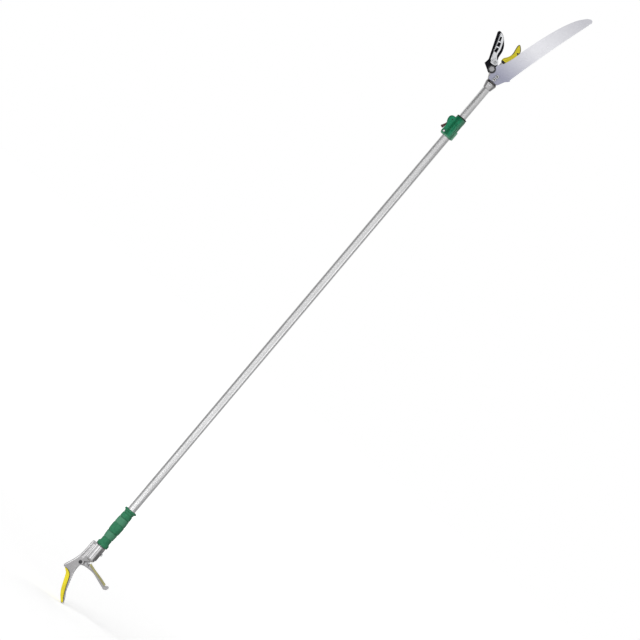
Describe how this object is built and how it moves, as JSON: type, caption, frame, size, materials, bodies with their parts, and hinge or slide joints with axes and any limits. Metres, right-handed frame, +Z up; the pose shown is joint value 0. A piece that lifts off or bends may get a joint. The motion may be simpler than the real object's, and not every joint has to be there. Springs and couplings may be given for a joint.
{
  "type": "tree pruner pole",
  "caption": "Telescopic tree pruner pole: squeeze handle with trigger, sliding tube lock, pull rod inside, and a head with a bypass blade, hook and pruning saw.",
  "frame": {"origin": "middle of the hand grip, on the pole's axis", "axes": "+Z up the pole towards the saw, +X to the side of the saw and the trigger, +Y to the back"},
  "size_m": [0.1835, 0.038, 2.163],
  "materials": {
    "cast_alloy": "satin cast",
    "tube_alloy": "satin drawn",
    "grip_rubber": "moulded",
    "green_plastic": "moulded",
    "yellow_plastic": "moulded",
    "pale_plastic": "moulded",
    "brown_plastic": "moulded",
    "black_plastic": "moulded",
    "black_rubber": "moulded",
    "yellow_paint": "gloss",
    "black_coat": "satin coat",
    "saw_steel": "ground",
    "bright_steel": "plated",
    "dark_steel": "blackened",
    "plain_steel": "turned",
    "bearing_brass": "turned"
  },
  "bodies": {
    "handle": {"handle_body": "cast_alloy", "handle_cover": "yellow_plastic", "socket_screw": "bright_steel", "trigger_pin": "dark_steel", "pin_clip": "plain_steel", "outer_tube": "tube_alloy", "hand_grip": "grip_rubber", "rod_bush": "black_plastic", "return_spring": "plain_steel", "lock_housing": "green_plastic", "wiper_ring": "black_rubber", "clamp_screw": "bright_steel", "clamp_nut": "bright_steel", "lever_pin": "dark_steel", "lever_spring": "plain_steel", "brake_shoe": "black_rubber"},
    "trigger": {"trigger_lever": "cast_alloy", "trigger_cover": "pale_plastic", "rod_pin": "plain_steel"},
    "lower_rod": {"rod_clevis": "dark_steel", "spring_collar": "black_plastic", "lower_rod": "tube_alloy", "clutch_body": "bearing_brass", "clutch_plates": "plain_steel", "clutch_spring": "plain_steel", "clutch_cap": "bearing_brass"},
    "pole": {"inner_tube": "tube_alloy", "tube_foot": "black_plastic", "head_bracket": "cast_alloy", "head_screws": "bright_steel", "counter_blade": "yellow_paint", "counter_rivets": "dark_steel", "saw_blade": "saw_steel", "saw_screws": "bright_steel", "pivot_bolt": "plain_steel", "pivot_washer": "dark_steel", "pivot_spacers": "plain_steel", "pivot_nut": "dark_steel"},
    "upper_rod": {"upper_rod": "plain_steel", "rod_eye": "plain_steel"},
    "blade": {"cutting_blade": "black_coat", "blade_bush": "bearing_brass", "tail_pin": "plain_steel", "hold_plate": "bright_steel", "hold_screw": "bright_steel"},
    "lock_lever": {"lock_lever": "brown_plastic"}
  },
  "joints": [
    {"name": "trigger_squeeze", "type": "hinge", "parent": "handle", "child": "trigger", "pos_m": [-0.016, 0, -0.1335], "axis": [0, 1, 0], "range_deg": [0, 50]},
    {"name": "lower_rod_pull", "type": "slide", "parent": "handle", "child": "lower_rod", "axis": [0, 0, -1], "range_m": [0, 0.01419], "stiffness_N_per_m": 2000, "springref_m": -0.015, "deforming": ["return_spring"]},
    {"name": "pole_extend", "type": "slide", "parent": "handle", "child": "pole", "axis": [0, 0, 1], "range_m": [0, 1]},
    {"name": "upper_rod_pull", "type": "slide", "parent": "pole", "child": "upper_rod", "axis": [0, 0, -1], "range_m": [0, 0.01419]},
    {"name": "blade_close", "type": "hinge", "parent": "pole", "child": "blade", "pos_m": [-0.024, 0, 1.6295], "axis": [0, 1, 0], "range_deg": [0, 33.63]},
    {"name": "lock_press", "type": "hinge", "parent": "handle", "child": "lock_lever", "pos_m": [-0.017, 0, 1.4545], "axis": [0, -1, 0], "range_deg": [0, 16], "stiffness_Nm_per_rad": 0.05, "springref_deg": -17.19}
  ],
  "couplings": [
    {"joint": "trigger_squeeze", "follows": "lower_rod_pull", "rad_per_m": 61.505},
    {"joint": "upper_rod_pull", "follows": "lower_rod_pull", "ratio": 1},
    {"joint": "blade_close", "follows": "lower_rod_pull", "rad_per_m": 41.367}
  ]
}
